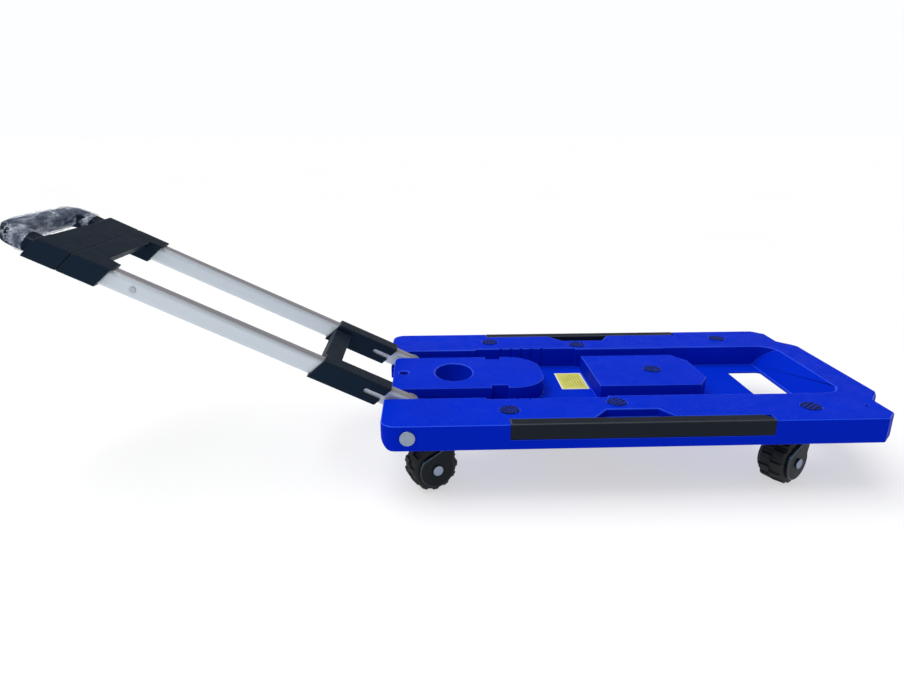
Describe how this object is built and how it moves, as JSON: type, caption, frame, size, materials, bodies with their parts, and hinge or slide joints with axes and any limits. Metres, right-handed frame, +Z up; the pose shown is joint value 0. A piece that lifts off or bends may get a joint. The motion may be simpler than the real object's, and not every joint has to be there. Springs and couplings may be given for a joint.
{
  "type": "folding platform cart",
  "caption": "Folding platform cart: hollow moulded deck on swivel casters, pull-out side rails, and a telescopic two-tube handle that folds flat into the deck.",
  "frame": {"origin": "bottom centre of the whole cart's box with the handle open on its stop, at floor level", "axes": "+X along the deck from the hinged handle to the carry slot, +Y across the deck, +Z up"},
  "size_m": [1.055, 0.3436, 0.3158],
  "materials": {
    "blue_plastic": "moulded polypropylene with a fine stipple on the flat tops",
    "black_plastic": "satin moulded nylon",
    "tyre_rubber": "matt rubber with blocks",
    "pad_rubber": "ribbed anti-slip rubber",
    "aluminium_tube": "satin anodised",
    "zinc_steel": "zinc plated",
    "bright_steel": "polished",
    "label": "blank printed film"
  },
  "bodies": {
    "deck": {"deck_shell": "blue_plastic", "pad_front_1": "pad_rubber", "pad_front_2": "pad_rubber", "pad_front_3": "pad_rubber", "pad_middle": "pad_rubber", "pad_back_1": "pad_rubber", "pad_back_2": "pad_rubber", "pad_back_3": "pad_rubber", "label_plate": "label", "pivot_axle": "zinc_steel", "pivot_cap_front": "bright_steel", "pivot_cap_back": "bright_steel", "caster_mount_front_left": "zinc_steel", "caster_mount_back_left": "zinc_steel", "caster_mount_front_right": "zinc_steel", "caster_mount_back_right": "zinc_steel"},
    "handle": {"outer_tube_front": "aluminium_tube", "outer_tube_back": "aluminium_tube", "hinge_plug_front": "black_plastic", "hinge_plug_back": "black_plastic", "tube_rivet_front": "bright_steel", "tube_rivet_back": "bright_steel", "lower_housing": "black_plastic"},
    "collar": {"lock_collar": "black_plastic"},
    "grip": {"grip_housing": "black_plastic", "inner_tube_front": "aluminium_tube", "inner_tube_back": "aluminium_tube"},
    "button": {"release_button": "bright_steel"},
    "rail_front": {"side_rail_front": "black_plastic", "rail_rod_front_1": "zinc_steel", "rail_rod_front_2": "zinc_steel"},
    "rail_back": {"side_rail_back": "black_plastic", "rail_rod_back_1": "zinc_steel", "rail_rod_back_2": "zinc_steel"},
    "caster_front_left": {"caster_fork_front_left": "black_plastic", "caster_axle_front_left": "bright_steel"},
    "wheel_front_left": {"wheel_hub_front_left": "black_plastic", "wheel_tyre_front_left": "tyre_rubber"},
    "caster_back_left": {"caster_fork_back_left": "black_plastic", "caster_axle_back_left": "bright_steel"},
    "wheel_back_left": {"wheel_hub_back_left": "black_plastic", "wheel_tyre_back_left": "tyre_rubber"},
    "caster_front_right": {"caster_fork_front_right": "black_plastic", "caster_axle_front_right": "bright_steel"},
    "wheel_front_right": {"wheel_hub_front_right": "black_plastic", "wheel_tyre_front_right": "tyre_rubber"},
    "caster_back_right": {"caster_fork_back_right": "black_plastic", "caster_axle_back_right": "bright_steel"},
    "wheel_back_right": {"wheel_hub_back_right": "black_plastic", "wheel_tyre_back_right": "tyre_rubber"}
  },
  "joints": [
    {"name": "handle_fold", "type": "hinge", "parent": "deck", "child": "handle", "pos_m": [-0.06153, 0, 0.08304], "axis": [0, -1, 0], "range_deg": [-154, 0]},
    {"name": "collar_slide", "type": "slide", "parent": "handle", "child": "collar", "axis": [-0.8988, 0, 0.4384], "range_m": [0, 0.0855]},
    {"name": "grip_extend", "type": "slide", "parent": "handle", "child": "grip", "axis": [-0.8988, 0, 0.4384], "range_m": [0, 0.3]},
    {"name": "release_press", "type": "slide", "parent": "grip", "child": "button", "axis": [0.8988, 0, -0.4384], "range_m": [0, 0.003], "stiffness_N_per_m": 500},
    {"name": "rail_front_pull", "type": "slide", "parent": "deck", "child": "rail_front", "axis": [0, -1, 0], "range_m": [0, 0.04]},
    {"name": "rail_back_pull", "type": "slide", "parent": "deck", "child": "rail_back", "axis": [0, 1, 0], "range_m": [0, 0.04]},
    {"name": "swivel_front_left", "type": "hinge", "parent": "deck", "child": "caster_front_left", "pos_m": [-0.02253, -0.124, 0.06384], "axis": [0, 0, 1], "continuous": true},
    {"name": "swivel_back_left", "type": "hinge", "parent": "deck", "child": "caster_back_left", "pos_m": [-0.02253, 0.124, 0.06384], "axis": [0, 0, 1], "continuous": true},
    {"name": "swivel_front_right", "type": "hinge", "parent": "deck", "child": "caster_front_right", "pos_m": [0.40747, -0.124, 0.06384], "axis": [0, 0, 1], "continuous": true},
    {"name": "swivel_back_right", "type": "hinge", "parent": "deck", "child": "caster_back_right", "pos_m": [0.40747, 0.124, 0.06384], "axis": [0, 0, 1], "continuous": true},
    {"name": "spin_front_left", "type": "hinge", "parent": "caster_front_left", "child": "wheel_front_left", "pos_m": [-0.03532, -0.12969, 0.02984], "axis": [-0.4067, 0.9135, 0], "continuous": true},
    {"name": "spin_back_left", "type": "hinge", "parent": "caster_back_left", "child": "wheel_back_left", "pos_m": [-0.03399, 0.13203, 0.02984], "axis": [0.5736, 0.8192, 0], "continuous": true},
    {"name": "spin_front_right", "type": "hinge", "parent": "caster_front_right", "child": "wheel_front_right", "pos_m": [0.39573, -0.13162, 0.02984], "axis": [-0.5446, 0.8387, 0], "continuous": true},
    {"name": "spin_back_right", "type": "hinge", "parent": "caster_back_right", "child": "wheel_back_right", "pos_m": [0.39395, 0.12038, 0.02984], "axis": [-0.2588, 0.9659, 0], "continuous": true}
  ],
  "couplings": [
    {"joint": "collar_slide", "follows": "handle_fold", "m_per_rad": -0.031624}
  ]
}
